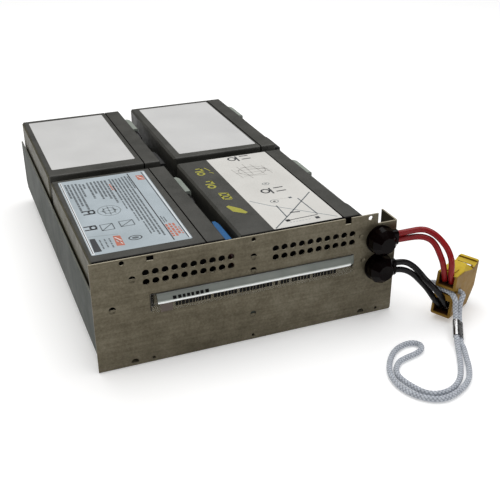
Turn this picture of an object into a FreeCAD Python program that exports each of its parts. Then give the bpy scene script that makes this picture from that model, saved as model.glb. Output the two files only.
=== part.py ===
import FreeCAD, Part
import os, math

# Battery cartridge for a rack UPS: folded steel tray and front panel, four sealed packs on their
# sides, series wiring, two right-angle strain reliefs, a two-pole connector and a wrist lanyard.
# Millimetres. Modelled from the front left bottom corner (X right, Y to the rear, Z up), and moved
# at export so that the origin is the middle of the footprint, on the floor.

V = FreeCAD.Vector
os.makedirs("parts", exist_ok=True)

# ---------------------------------------------------------------- driving dimensions
PANEL_W, PANEL_H = 231.0, 85.0          # front panel face
T = 1.2                                 # sheet thickness
R_OUT, R_IN = 2.0, 0.8                  # bend radii
BOTTOM_FLANGE, SIDE_FLANGE = 14.0, 21.7 # return flanges behind the face
TRAY_REAR = 324.4                       # outside of the rear lip
TRAY_Z0 = 13.8                          # underside of the tray floor
WALL_L_TOP, WALL_R_TOP = 62.3, 54.0
REAR_LIP_TOP, UPSTAND_TOP = 40.0, 30.0
RUN_X, RUN_W, RUN_WEB = 10.0, 32.0, 16.0
RUN_Y0, RUN_Y1 = 16.0, 316.0
PACK_L, PACK_H, PACK_T = 151.0, 95.5, 65.0   # along Y, across (base to lid), thickness in Z
FOAM_T = 2.0
PACK_Z0 = TRAY_Z0 + T + FOAM_T          # 17.0
PACK_Z1 = PACK_Z0 + PACK_T              # 82.0
LID_LINE = 13.7                         # lid depth behind the lid face
PACKS = {                               # base face X, front face Y
    "front_left": (2.7, 7.9), "rear_left": (2.7, 171.2),
    "front_right": (108.8, 7.9), "rear_right": (110.9, 171.9)}
VENT_D, VENT_PITCH, VENT_N = 4.9, 6.78, 10
VENT_X = (37.6, 132.4)
VENT_Z = (65.0, 72.0)
BUSH_X, BUSH_Z = 216.5, (63.8, 41.0)
BUSH_R, BUSH_Y = 11.2, -13.6            # flange radius, front of the dome
BUSH_HOLE = 18.0
MOUTH_X, LEAD_Y = 227.0, -6.5           # where the leads leave the reliefs
LEAD_D = 4.6                            # 10 AWG with its insulation
JUMP_D = 3.8                            # jumpers between packs
CORD_D = 4.0                            # braided lanyard cord
LABEL_T = 0.15
CONN = (42.0, 16.0, 36.5)               # connector: along the mating axis, thickness, height
CONN_P0 = V(261.0, -35.8, 3.35)         # its lower near corner
CONN_YAW, CONN_PITCH, CONN_ROLL = 31.4, 4.2, 2.3
FERR_1, FERR_2 = V(259.5, -48.4, 8.6), V(251.9, -61.1, 4.45)
ORIGIN = V(PANEL_W / 2, (BUSH_Y + TRAY_REAR) / 2, 0)


# ---------------------------------------------------------------- helpers
def box(x0, x1, y0, y1, z0, z1):
    return Part.makeBox(x1 - x0, y1 - y0, z1 - z0, V(x0, y0, z0))


def cyl(p, d, r, h):
    return Part.makeCylinder(r, h, p, d)


def near_edges(shape, tests):
    """Edges whose middle point passes any of the tests."""
    out = []
    for e in shape.Edges:
        m = e.valueAt((e.FirstParameter + e.LastParameter) / 2)
        if any(t(m, e) for t in tests):
            out.append(e)
    return out


def poly_prism(pts, direction):
    w = Part.makePolygon([V(*p) for p in pts] + [V(*pts[0])])
    return Part.Face(w).extrude(direction)


def one(shape):
    s = shape.removeSplitter()
    if len(s.Solids) == 1:
        return s.Solids[0]
    return s


def route_wire(pts):
    """Straight runs joined by tangent arcs, each arc 0.45 of the shorter run deep."""
    P = [V(*p) for p in pts]
    edges, radii, last = [], [], P[0]
    for i in range(1, len(P) - 1):
        a, b = P[i].sub(P[i - 1]), P[i + 1].sub(P[i])
        la, lb = a.Length, b.Length
        a.normalize()
        b.normalize()
        turn = a.getAngle(b)
        t = 0.45 * min(la, lb)
        r = t / math.tan(turn / 2)
        s, e = P[i].sub(a * t), P[i].add(b * t)
        bis = b.sub(a)
        bis.normalize()
        m = P[i].add(bis * (r / math.cos(turn / 2) - r))
        edges.append(Part.LineSegment(last, s).toShape())
        edges.append(Part.Arc(s, m, e).toShape())
        radii.append(r)
        last = e
    edges.append(Part.LineSegment(last, P[-1]).toShape())
    return Part.Wire(edges), radii


def tube(name, pts, d):
    w, radii = route_wire(pts)
    P = [V(*p) for p in pts]
    n = P[1].sub(P[0])
    c = Part.Wire([Part.Circle(P[0], n, d / 2).toShape()])
    s = w.makePipeShell([c], True, False)
    if not s.Solids:
        s = Part.makeSolid(s)
    s = s.Solids[0]
    ideal = math.pi * d * d / 4 * w.Length
    runs = [P[i + 1].sub(P[i]).Length for i in range(len(P) - 1)]
    print("route %-22s length %6.1f  volume/ideal %.4f  valid %s  runs %s  radii %s" % (
        name, w.Length, s.Volume / ideal, s.isValid(), [round(x, 1) for x in runs],
        [round(x, 1) for x in radii]))
    return s


def export(name, shape):
    s = shape.copy()
    s.translate(V(-ORIGIN.x, -ORIGIN.y, 0))
    if s.ShapeType == "Compound" and len(s.Solids) == 1:
        s = s.Solids[0]
    if not s.isValid():
        print("NOT VALID", name)
    bb = s.BoundBox
    print("node %-20s solids %d vol %9.1f  x %.1f..%.1f y %.1f..%.1f z %.2f..%.2f" % (
        name, len(s.Solids), s.Volume, bb.XMin, bb.XMax, bb.YMin, bb.YMax, bb.ZMin, bb.ZMax))
    s.exportStep("parts/%s.step" % name)


# ---------------------------------------------------------------- tray
outer = box(0, PANEL_W - T, T, TRAY_REAR, TRAY_Z0, WALL_L_TOP)
outer = outer.makeFillet(R_OUT, near_edges(outer, [lambda m, e: abs(m.z - TRAY_Z0) < 0.01]))
inner = box(T, PANEL_W - 2 * T, 2 * T, TRAY_REAR - T, TRAY_Z0 + T, 120)
inner = inner.makeFillet(R_IN, near_edges(inner, [lambda m, e: abs(m.z - TRAY_Z0 - T) < 0.01]))
tray = outer.cut(inner)
cuts = [
    box(PANEL_W - 3 * T, PANEL_W, 0, 330, WALL_R_TOP, 70),                    # right wall is lower
    box(T + 0.01, PANEL_W - 2 * T - 0.01, TRAY_REAR - 3, 330, REAR_LIP_TOP, 70),
    box(T + 0.01, PANEL_W - 2 * T - 0.01, 0, 3.2, UPSTAND_TOP, 70)]
for x in (T, PANEL_W - 2 * T - 1.4):                                          # bend reliefs
    cuts.append(box(x, x + 1.4, TRAY_REAR - 2.6, 330, TRAY_Z0 + 2.4, 70))
    cuts.append(box(x, x + 1.4, 0, 2 * T + 1.4, TRAY_Z0 + 2.4, 70))
for x0, x1 in ((-1, 2.6), (PANEL_W - T - 2.6, PANEL_W + 1)):                  # cut rear corners
    cuts.append(poly_prism([(x0, TRAY_REAR - 9, TRAY_Z0 - 1), (x0, TRAY_REAR + 1, TRAY_Z0 - 1),
                            (x0, TRAY_REAR + 1, TRAY_Z0 + 7.8), (x0, TRAY_REAR, TRAY_Z0 + 7)],
                           V(x1 - x0, 0, 0)))
for c in cuts:
    tray = tray.cut(c)
tray = one(tray)

# ---------------------------------------------------------------- runners (hat sections, skids)
def hat(x0):
    x1 = x0 + RUN_W
    xa, xb = x0 + (RUN_W - RUN_WEB) / 2, x0 + (RUN_W + RUN_WEB) / 2
    p = [(x0, RUN_Y0, TRAY_Z0), (x0, RUN_Y0, TRAY_Z0 - T), (xa, RUN_Y0, TRAY_Z0 - T),
         (xa, RUN_Y0, 0), (xb, RUN_Y0, 0), (xb, RUN_Y0, TRAY_Z0 - T),
         (x1, RUN_Y0, TRAY_Z0 - T), (x1, RUN_Y0, TRAY_Z0),
         (xb - T, RUN_Y0, TRAY_Z0), (xb - T, RUN_Y0, T), (xa + T, RUN_Y0, T),
         (xa + T, RUN_Y0, TRAY_Z0)]
    s = poly_prism(p, V(0, RUN_Y1 - RUN_Y0, 0))
    sel = near_edges(s, [lambda m, e: abs(m.z) < 0.01 and e.Length > 100])
    s = s.makeFillet(R_OUT, sel)
    # both ends turn up like a sledge, so that the drawer slides in without catching
    for y, k in ((RUN_Y0, 1), (RUN_Y1, -1)):
        s = s.cut(poly_prism([(x0 - 1, y - k, -1), (x0 - 1, y + 9 * k, -1), (x0 - 1, y - k, 7.0)],
                             V(RUN_W + 2, 0, 0)))
    return one(s)

runner_left, runner_right = hat(RUN_X), hat(PANEL_W - T - RUN_X - RUN_W)

# ---------------------------------------------------------------- front panel
face = box(0, PANEL_W, 0, T, 0, PANEL_H)
bot = box(2, PANEL_W - 2, 0, BOTTOM_FLANGE, 0, T)
side = box(PANEL_W - T, PANEL_W, 0, SIDE_FLANGE, 1.5, 76.7)
panel = face.fuse(bot).fuse(side).removeSplitter()
sel = near_edges(panel, [
    lambda m, e: abs(m.y) < 0.01 and abs(m.z) < 0.01 and e.Length > 100,
    lambda m, e: abs(m.y - T) < 0.01 and abs(m.z - T) < 0.01 and e.Length > 100])
try:
    r0 = [e for e in sel if abs(e.valueAt(0).y) < 0.1]
    r1 = [e for e in sel if e not in r0]
    panel = panel.makeFillet(R_IN, r1)
except Exception as ex:
    print("inner bend fillet", ex)
try:
    sel = near_edges(panel, [lambda m, e: abs(m.y) < 0.01 and abs(m.z) < 0.01 and e.Length > 100])
    panel = panel.makeFillet(T * 0.95, sel)
except Exception as ex:
    print("outer bend fillet", ex)
try:
    sel = near_edges(panel, [lambda m, e: abs(m.y) < 0.01 and abs(m.x - PANEL_W) < 0.01 and e.Length > 40])
    panel = panel.makeFillet(T * 0.95, sel)
except Exception as ex:
    print("side bend fillet", ex)
vents = []
for x0 in VENT_X:
    for z in VENT_Z:
        for i in range(VENT_N):
            vents.append(cyl(V(x0 + i * VENT_PITCH, -1, z), V(0, 1, 0), VENT_D / 2, 5))
holes = [cyl(V(BUSH_X, -1, z), V(0, 1, 0), BUSH_HOLE / 2, 4) for z in BUSH_Z]
for x, z, d in ((21.9, 82.2, 3.6), (208.0, 82.2, 3.6), (115.6, 82.2, 3.4), (39.5, 3.7, 2.5),
                (115.0, 3.9, 2.5), (217.5, 3.7, 2.5)):
    holes.append(cyl(V(x, -1, z), V(0, 1, 0), d / 2, 4))
holes.append(box(38.8, 43.8, -1, 3, 80.4, 84.2))              # square hole near the top edge
holes.append(box(187.2, 192.2, -1, 3, 80.4, 90))              # notch open at the top edge
for x in (25.9, 204.2):                                        # half-round notches at the foot
    holes.append(box(x - 2.75, x + 2.75, -1, 3, 2.6, 3.4).fuse(
        cyl(V(x, -1, 3.2), V(0, 1, 0), 2.75, 4).common(box(x - 3, x + 3, -1, 3, 3.2, 8))))
for x, z in ((28.1, 69.0), (115.5, 68.9), (115.3, 58.2), (13.1, 48.3), (115.1, 22.1)):
    half = cyl(V(x, -1, z), V(0, 1, 0), 2.4, 4).common(box(x - 3, x + 3, -1, 3, z - 0.2, z + 4))
    holes.append(half)                                         # half-round lance
    holes.append(Part.makeSphere(3.4, V(x, -2.6, z - 0.9)))    # its pressed lower lip
for x, z in ((200.7, 68.9), (203.5, 48.5)):                    # pressed dimples
    holes.append(Part.makeSphere(2.8, V(x, -2.1, z)))
for x in (40.2, 193.0):                                        # slots of the pull handle
    holes.append(box(x, x + 2.0, -1, 3, 44.6, 55.4))
holes.append(box(214.3, 240, -1, 30, 76.7, 90))                # notch beside the ear
holes.append(poly_prism([(PANEL_W - 2.2, -1, -0.1), (PANEL_W + 1, -1, -0.1), (PANEL_W + 1, -1, 2.2),
                         (PANEL_W, -1, 2.2)], V(0, 30, 0)))
panel = panel.cut(Part.makeCompound(vents))
for h in holes:
    panel = panel.cut(h)
# ear: the strip between the last notch and the corner leans back a little
front_panel = one(panel)

# ---------------------------------------------------------------- packs
def pack(x0, y0):
    b = box(x0, x0 + PACK_H, y0, y0 + PACK_L, PACK_Z0, PACK_Z1)
    xl = x0 + PACK_H
    base = near_edges(b, [lambda m, e: abs(m.x - x0) < 0.01])
    b = b.makeChamfer(1.6, base)
    rest = near_edges(b, [lambda m, e: abs(m.x - xl) < 0.01,
                          lambda m, e: e.Length > 80 and abs(m.x - x0 - PACK_H / 2 - 0.8) < 0.2])
    b = b.makeFillet(1.2, rest)
    g = box(xl - LID_LINE - 0.9, xl - LID_LINE, y0 - 1, y0 + PACK_L + 1, PACK_Z0 - 1, PACK_Z1 + 1)
    g = g.cut(box(xl - 40, xl + 1, y0 + 0.8, y0 + PACK_L - 0.8, PACK_Z0 + 0.8, PACK_Z1 - 0.8))
    b = b.cut(g)
    for ya in (y0 + 5.0, y0 + PACK_L - 27.0):                  # terminal wells in the lid
        b = b.cut(box(xl - 4.0, xl + 1, ya, ya + 22.0, PACK_Z1 - 12.5, PACK_Z1 - 1.6))
    b = b.fuse(box(xl - 0.5, xl + 0.9, y0 + 36, y0 + PACK_L - 62, PACK_Z0 + 12, PACK_Z1 - 24))  # vent cover
    return one(b)

packs = {k: pack(*v) for k, v in PACKS.items()}

foam = []
for x0, y0 in PACKS.values():
    for yy in (y0 + 16, y0 + PACK_L - 16 - 14):
        foam.append(box(x0 + 6, x0 + PACK_H - 6, yy, yy + 14, TRAY_Z0 + T, PACK_Z0))
foam_strips = Part.makeCompound(foam)

# ---------------------------------------------------------------- labels on the packs
LABELS = {
    "label_front_left": [(6.2, 18.3), (77.3, 18.3), (78.9, 154.4), (7.6, 154.4)],
    "label_rear_left": [(8.1, 184.4), (79.5, 184.4), (79.5, 315.6), (8.1, 315.0)],
    "label_rear_right": [(118.3, 180.6), (190.1, 179.6), (190.1, 316.8), (118.3, 316.6)],
    "label_front_right": [(135.2, 9.6), (189.6, 9.6), (189.6, 157.2), (135.2, 157.2)]}
labels = {k: poly_prism([(x, y, PACK_Z1) for x, y in p], V(0, 0, LABEL_T)) for k, p in LABELS.items()}

# ---------------------------------------------------------------- terminals and boots
def terminal(xl, yf, sgn):
    """Tab terminal: foot in the lid well, blade bent along the lid."""
    z0, z1 = PACK_Z1 - 9.4, PACK_Z1 - 4.7
    a = box(xl - 4.0, xl + 2.6, min(yf, yf + 0.8 * sgn), max(yf, yf + 0.8 * sgn), z0, z1)
    b = box(xl + 1.8, xl + 2.6, min(yf, yf + 8 * sgn), max(yf, yf + 8 * sgn), z0, z1)
    return one(a.fuse(b))

terms, boots_clear, boots_black, boot_blue = [], [], [], None
ENTRY = {}
for k, (x0, y0) in PACKS.items():
    xl = x0 + PACK_H
    yr = y0 + PACK_L
    # rear terminal: thin end of the boot over the well, blunt end 55 mm from the rear of the pack
    t1 = terminal(xl, yr - 24.6, -1)
    za, zb = PACK_Z1 - 10.2, PACK_Z1 - 2.2
    b = poly_prism([(xl + 0.3, yr - 23.6, za), (xl + 3.0, yr - 23.6, za), (xl + 5.8, yr - 29, za),
                    (xl + 5.8, yr - 55, za), (xl + 0.3, yr - 55, za)], V(0, 0, zb - za))
    try:
        b = b.makeFillet(1.4, near_edges(b, [lambda m, e: abs(m.x - xl - 5.8) < 0.01 and e.Length > 15]))
    except Exception as ex:
        print("boot fillet", ex)
    b = b.cut(t1)
    ENTRY[k + "_rear"] = (xl + 3.05, yr - 55, (za + zb) / 2)
    # front terminal: boot from 2 to 33 mm behind the front of the pack, lead leaves forwards
    t2 = terminal(xl, y0 + 20.0, -1)
    zb = PACK_Z1 - (1.2 if k == "front_left" else 3.8)
    f = poly_prism([(xl + 0.3, y0 + 26, za), (xl + 0.3, y0 + 2, za), (xl + 5.4, y0 + 2, za),
                    (xl + 5.4, y0 + 24, za), (xl + 3.4, y0 + 33, za), (xl + 1.0, y0 + 33, za)],
                   V(0, 0, zb - za))
    try:
        f = f.makeFillet(1.4, near_edges(f, [lambda m, e: abs(m.x - xl - 5.4) < 0.01 and e.Length > 15]))
    except Exception as ex:
        print("boot fillet", ex)
    f = f.cut(t2)
    ENTRY[k + "_front"] = (xl + 2.85, y0 + 2, (za + zb) / 2)
    terms += [t1, t2]
    boots_clear.append(b)
    if k == "front_left":
        boot_blue = f
    else:
        boots_black.append(f)

# ---------------------------------------------------------------- wires held by the cartridge
E = ENTRY
SLOT_Y = 4.55                            # middle of the slot behind the panel
def entry(p, q, deep=4.0):
    """First point of a wire that leaves a boot at p towards q: it starts inside the boot."""
    a, b = V(*p), V(*q)
    d = a.sub(b)
    d.normalize()
    a = a.add(d * deep)
    return (a.x, a.y, a.z)

inner_routes = {
    "inner_lead_red_a": [E["front_left_front"], (101.0, 4.8, 73.4), (102.6, 4.6, 62.0),
                         (109.0, 4.6, 52.5), (120.0, 4.6, 50.4), (150.0, SLOT_Y + 0.2, 50.0), (194.0, SLOT_Y, 50.6),
                         (203.0, SLOT_Y, 54.6),
                         (211.0, SLOT_Y - 0.5, 63.0), (219.5, LEAD_Y, 63.9),
                         (MOUTH_X, LEAD_Y, 63.9)],
    "inner_lead_red_b": [E["front_right_front"], (208.6, 5.2, 74.2), (215.0, 3.6, 69.4),
                         (218.6, -2.4, 68.0), (221.2, LEAD_Y, 69.0), (MOUTH_X, LEAD_Y, 69.0)],
    "inner_lead_black_a": [E["rear_left_rear"], (101.25, 256.0, 76.0), (104.0, 240.0, 62.0),
                           (105.6, 214.0, 52.0), (105.4, 120.0, 49.0), (105.4, 22.0, 47.0),
                           (105.5, 9.2, 43.8), (109.2, 4.3, 42.4), (121.0, 4.3, 41.0),
                           (160.0, SLOT_Y + 0.4, 40.0), (211.0, SLOT_Y, 38.4), (219.5, LEAD_Y, 38.4),
                           (MOUTH_X, LEAD_Y, 38.4)],
    "inner_lead_black_b": [E["rear_right_rear"], (209.45, 256.0, 75.5), (212.0, 240.0, 62.0),
                           (216.5, 214.0, 52.0), (218.0, 120.0, 48.0), (216.6, 24.0, 46.0),
                           (216.8, 10.0, 44.6), (217.0, LEAD_Y, 44.6), (MOUTH_X, LEAD_Y, 44.6)],
    "jumper_left": [E["front_left_rear"], (101.25, 92.0, 76.0), (101.2, 82.0, 69.0),
                    (101.0, 88.0, 60.5), (101.1, 104.0, 58.6), (101.0, 146.0, 62.0),
                    (101.05, 163.0, 73.0), E["rear_left_front"]],
    "jumper_right": [E["front_right_rear"], (207.35, 92.0, 76.0), (207.8, 82.0, 69.0),
                     (208.2, 88.0, 60.5), (208.6, 104.0, 58.6), (209.2, 146.0, 62.0),
                     (209.25, 164.0, 73.5), E["rear_right_front"]],
}
for k, p in inner_routes.items():
    p[0] = entry(p[0], p[1], 2.4 if k == "inner_lead_red_b" else 4.0)
    if k.startswith("jumper"):
        p[-1] = entry(p[-1], p[-2])
inner = {k: tube(k, p, JUMP_D if k.startswith("jumper") else LEAD_D) for k, p in inner_routes.items()}

def fit_boots(boots):
    out = []
    for b in boots:
        for w in inner.values():
            if b.BoundBox.intersect(w.BoundBox):
                b = b.cut(w)
        out.append(one(b))
    return out

boots_clear, boots_black, boot_blue = fit_boots(boots_clear), fit_boots(boots_black), fit_boots([boot_blue])[0]

# ---------------------------------------------------------------- right-angle strain reliefs
def ring(y, r, n=10):
    p = [V(BUSH_X + r * math.cos(math.pi * (2 * i + 1) / n), y, r * math.sin(math.pi * (2 * i + 1) / n))
         for i in range(n)]
    return Part.makePolygon(p + [p[0]])

def bushing(z, zl, leads):
    s = Part.makeLoft([ring(-1.6, 10.9), ring(-8.6, 10.6), ring(BUSH_Y, 6.2)], True, True)
    s.translate(V(0, 0, z))
    s = s.fuse(cyl(V(BUSH_X, -1.6, z), V(0, 1, 0), BUSH_R, 1.6))
    s = s.fuse(cyl(V(BUSH_X, -0.5, z), V(0, 1, 0), BUSH_HOLE / 2 - 0.15, T + 1.9))
    s = s.fuse(cyl(V(BUSH_X, T + 0.05, z), V(0, 1, 0), BUSH_HOLE / 2 + 0.35, 1.1))     # snap bead
    h = abs(zl[0] - zl[1]) / 2
    zm = (zl[0] + zl[1]) / 2
    nose = box(BUSH_X, MOUTH_X, LEAD_Y - 3.5, LEAD_Y + 3.5, zm - h, zm + h)
    for zz in zl:
        nose = nose.fuse(cyl(V(BUSH_X, LEAD_Y, zz), V(1, 0, 0), 3.5, MOUTH_X - BUSH_X))
    s = s.fuse(nose)
    # open throat behind the panel, then a close channel round each lead
    s = s.cut(cyl(V(BUSH_X, -2.0, z), V(0, 1, 0), BUSH_HOLE / 2 - 1.4, 8))
    for k in leads:
        s = s.cut(tube_quiet(inner_routes[k], LEAD_D + 0.3))
    return one(s)

def tube_quiet(pts, d):
    w, _ = route_wire(pts)
    P = [V(*p) for p in pts]
    c = Part.Wire([Part.Circle(P[0], P[1].sub(P[0]), d / 2).toShape()])
    s = w.makePipeShell([c], True, False)
    end = P[-1].sub(P[-2])
    end.normalize()
    return s.Solids[0].fuse(cyl(P[-1].sub(end * 0.5), end, d / 2, 2))

bushing_upper = bushing(BUSH_Z[0], (69.0, 63.9), ["inner_lead_red_a", "inner_lead_red_b"])
bushing_lower = bushing(BUSH_Z[1], (44.6, 38.4), ["inner_lead_black_a", "inner_lead_black_b"])

# ---------------------------------------------------------------- free leads
free_routes = {
    "lead_red_outer": [(227.0, -6.5, 69.0), (235.3, -6.5, 69.0), (247.5, -8.9, 70.5),
                       (253.7, -13.9, 68.2), (257.7, -19.7, 63.9), (260.6, -25.8, 57.9),
                       (261.8, -30.0, 49.9), (261.3, -31.0, 40.1), (264.9, -28.5, 31.1)],
    "lead_red_inner": [(227.0, -6.5, 63.9), (235.3, -6.5, 63.9), (246.0, -9.7, 64.9),
                       (252.0, -13.8, 63.2), (254.8, -17.9, 59.2), (256.2, -21.8, 53.3),
                       (257.3, -25.0, 48.1), (258.4, -26.7, 40.3), (261.5, -24.0, 32.1)],
    "lead_black_upper": [(227.0, -6.5, 44.6), (235.2, -6.5, 44.6), (242.2, -9.8, 40.5),
                         (245.7, -14.3, 35.9), (247.0, -18.4, 33.3), (248.5, -22.3, 31.3),
                         (251.8, -26.2, 27.3), (256.9, -28.7, 20.6), (262.5, -28.4, 11.0)],
    "lead_black_lower": [(227.0, -6.5, 38.4), (231.4, -6.5, 38.4), (237.6, -8.3, 36.8),
                         (242.4, -11.2, 33.7), (246.2, -13.8, 29.2), (249.5, -16.0, 25.3),
                         (251.9, -18.9, 21.6), (255.0, -23.6, 15.3), (260.6, -23.8, 8.7)],
}
free = {k: tube(k, p, LEAD_D) for k, p in free_routes.items()}

# ---------------------------------------------------------------- connector
ROT = FreeCAD.Rotation(CONN_YAW, CONN_PITCH, CONN_ROLL)      # yaw, pitch, roll
PLACE = FreeCAD.Placement(CONN_P0, ROT)

def world(u, v, w):
    return PLACE.multVec(V(u, v, w))

def half_space(p, n):
    """A large block on the side of the plane through p that n points to."""
    b = Part.makeBox(80, 80, 40, V(-40, -40, 0))
    b.Placement = FreeCAD.Placement(p, FreeCAD.Rotation(V(0, 0, 1), n))
    return b

LU, LV, LW = CONN
hs = box(0, LU, 0, LV, 0, LW)
hs = hs.makeFillet(1.6, near_edges(hs, [lambda m, e: abs(m.x - LU / 2) < 0.1]))
hs = hs.makeChamfer(0.7, near_edges(hs, [lambda m, e: abs(m.x) < 0.01, lambda m, e: abs(m.x - LU) < 0.01]))
hs = hs.cut(box(-1, 2.5, -1, LV + 1, 18.9, 23.8))                 # notch between the poles
hs = hs.cut(cyl(V(2.5, -1, 21.35), V(0, 1, 0), 2.45, LV + 2))     # its round bottom
hs = hs.cut(cyl(V(9.6, -1, 21.2), V(0, 1, 0), 2.5, LV + 2))       # cross hole
for w0, w1, wm, wb in ((25.6, 35.2, 28.3, 26.4), (2.2, 14.4, 8.3, 6.1)):
    hs = hs.cut(box(-1, 17.5, 1.9, 14.1, w0, w1))                 # wire wells
    hs = hs.cut(box(23.5, LU + 1, 3.0, 13.0, wm - 5.0, wm + 5.0))   # mating wells
    hs = hs.cut(box(17, 24, 3.9, 12.1, wb - 0.8, wb + 0.8))       # tang slot
hs = hs.cut(poly_prism([(27.0, -1, LW + 1), (38.0, -1, LW + 1), (38.0, -1, LW - 1.4), (33.0, -1, LW - 3.6),
                        (27.0, -1, LW - 0.6)], V(0, LV + 2, 0)))   # latch step on the top
hs = hs.cut(poly_prism([(30.9, -1, -0.5), (41.0, -1, 14.0), (44.0, -1, 14.0), (44.0, -1, -0.5)],
                       V(0, LV + 2, 0)))                          # slanted lower corner of the mating end
# sloping shoulder along the top edge, ending at the collar of the mating end
sa, sb, sc = V(10.0, 0, LW), V(31.0, 0, LW - 4.5), V(31.0, 5.5, LW)
sn = (sb - sa).cross(sc - sa)
sn.normalize()
if sn.z < 0:
    sn = sn * -1
hs = hs.cut(poly_prism([(9.0, -1.0, LW - 6), (31.0, -1.0, LW - 6), (31.0, -1.0, LW + 2), (9.0, -1.0, LW + 2)],
                       V(0, 8.0, 0)).common(half_space(sa, sn)))
hs = hs.fuse(box(4.0, 12.0, 4.0, 12.0, LW - 0.2, LW + 0.9))       # thumb pad
hs.Placement = PLACE.multiply(hs.Placement)

def contact(w_mid, wb, leads, tip):
    """Block behind the leads at w_mid, and a blade low in its well at wb."""
    c = box(17.0, tip, 3.9, 12.1, wb - 0.8, wb + 0.8)
    c = c.fuse(box(9.5, 17.2, 3.2, 12.8, wb - 0.8, w_mid + 2.2))
    c = c.fuse(box(tip - 2.5, tip, 3.9, 12.1, wb - 0.8, wb + 1.3))
    c.Placement = PLACE.multiply(c.Placement)
    for k in leads:
        p, q = V(*free_routes[k][-2]), V(*free_routes[k][-1])
        d = q.sub(p)
        d.normalize()
        tgt = world(12.0, 0, 0)
        # barrel: from the end of the lead straight on, then across to the block
        loc = PLACE.inverse().multVec(q)
        b1 = cyl(q, d, 2.1, 1.2)
        e = PLACE.inverse().multVec(q.add(d * 0.6))
        m = V(11.5, e.y, w_mid)
        axis = m.sub(e)
        L = axis.Length
        axis.normalize()
        b2 = cyl(e, axis, 1.9, L)
        b2.Placement = PLACE.multiply(b2.Placement)
        c = c.fuse(b1).fuse(b2)
    for k in leads:
        c = c.cut(free[k])
    return one(c)

cont_up = contact(30.4, 26.4, ["lead_red_outer", "lead_red_inner"], 39.5)
cont_lo = contact(8.3, 6.1, ["lead_black_upper", "lead_black_lower"], 33.0)
for k, p in free_routes.items():
    hs = hs.cut(tube_quiet(p[-4:], LEAD_D + 0.6))
for c in (cont_up, cont_lo):
    hs = hs.cut(c)
connector_contacts = Part.makeCompound([cont_up, cont_lo])

# ---------------------------------------------------------------- lanyard
ax = FERR_2.sub(FERR_1)
FL = ax.Length
ax.normalize()
lat = V(-ax.y, ax.x, 0)
lat.normalize()
if lat.x < 0:
    lat = lat * -1
nrm = lat.cross(ax)
if nrm.z < 0:
    nrm = nrm * -1
OFF = (lat * 0.7071 - nrm * 0.7071) * 2.05
MID = (FERR_1 + FERR_2) * 0.5
sA, sI = MID + OFF, MID - OFF

def t3(v):
    return (v.x, v.y, v.z)

eA, eI = FERR_2 + OFF + ax * 3.2, FERR_2 - OFF + ax * 3.2
loop_pts = [t3(sA), t3(eA), (250.3, -70.6, 2.15), (245.8, -79.5, 2.05), (239.1, -93.6, 2.05),
            (230.3, -105.3, 2.05), (216.8, -113.0, 2.05), (201.5, -116.5, 2.05), (189.0, -107.6, 2.05),
            (182.9, -93.2, 2.05), (184.4, -78.0, 2.05), (192.3, -64.6, 2.05), (202.6, -54.2, 2.05),
            (213.4, -50.2, 2.05), (221.0, -51.0, 2.05), (224.0, -56.0, 2.05), (220.8, -61.2, 2.05),
            (214.5, -63.8, 2.05), (206.6, -65.3, 2.05), (197.1, -67.9, 2.05), (188.1, -79.6, 2.05),
            (190.4, -94.6, 2.05), (197.4, -108.9, 2.05), (212.4, -110.2, 2.05), (225.3, -102.3, 2.05),
            (234.2, -90.4, 2.05), (241.6, -77.6, 2.2), (246.3, -68.6, 3.3), t3(eI), t3(sI)]
lanyard_loop = tube("lanyard_loop", loop_pts, CORD_D)
nA, nI = FERR_1 + OFF - ax * 3.2, FERR_1 - OFF - ax * 3.2
# strand 1 goes up to the notch, across it, round behind the web, back through the hole and down
neck_pts = [t3(sI), t3(nI), t3(world(-3.3, -4.2, 12.0)), t3(world(-1.6, -2.8, 18.4)),
            t3(world(2.4, 3.2, 21.4)), t3(world(2.5, 11.5, 21.4)), t3(world(2.5, 19.0, 21.3)),
            t3(world(6.0, 23.0, 21.2)), t3(world(9.6, 19.0, 21.3)), t3(world(9.6, 11.0, 21.3)),
            t3(world(9.5, -4.3, 21.0)), t3(world(3.2, -5.0, 17.4)), t3(world(1.2, -5.6, 12.0)),
            t3(nA), t3(sA)]
lanyard_neck = tube("lanyard_neck", neck_pts, CORD_D)
print("neck", [[round(c, 2) for c in p] for p in neck_pts])
print("loop ends", [[round(c, 2) for c in t3(p)] for p in (sA, eA, eI, sI)])

r_o = 2.6
fer = None
for o in (OFF, OFF * -1):
    c = cyl(FERR_1 + o, ax, r_o, FL)
    fer = c if fer is None else fer.fuse(c)
# flat sides between the two round ends
u1, u2 = OFF * 1, OFF * -1
nn = ax.cross(OFF)
nn.normalize()
w = Part.makePolygon([FERR_1 + u1 + nn * r_o, FERR_1 + u2 + nn * r_o, FERR_1 + u2 - nn * r_o,
                      FERR_1 + u1 - nn * r_o, FERR_1 + u1 + nn * r_o])
fer = fer.fuse(Part.Face(w).extrude(ax * FL))
for o in (OFF, OFF * -1):
    fer = fer.cut(cyl(FERR_1 + o - ax, ax, CORD_D / 2, FL + 2))
fer = fer.cut(lanyard_loop).cut(lanyard_neck)
lanyard_ferrule = one(fer)
cord_clear = []
hs = hs.cut(tube_quiet(neck_pts[1:7], CORD_D + 0.1))
hs = hs.cut(tube_quiet(neck_pts[8:15], CORD_D + 0.1))
connector_housing = one(hs)

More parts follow.
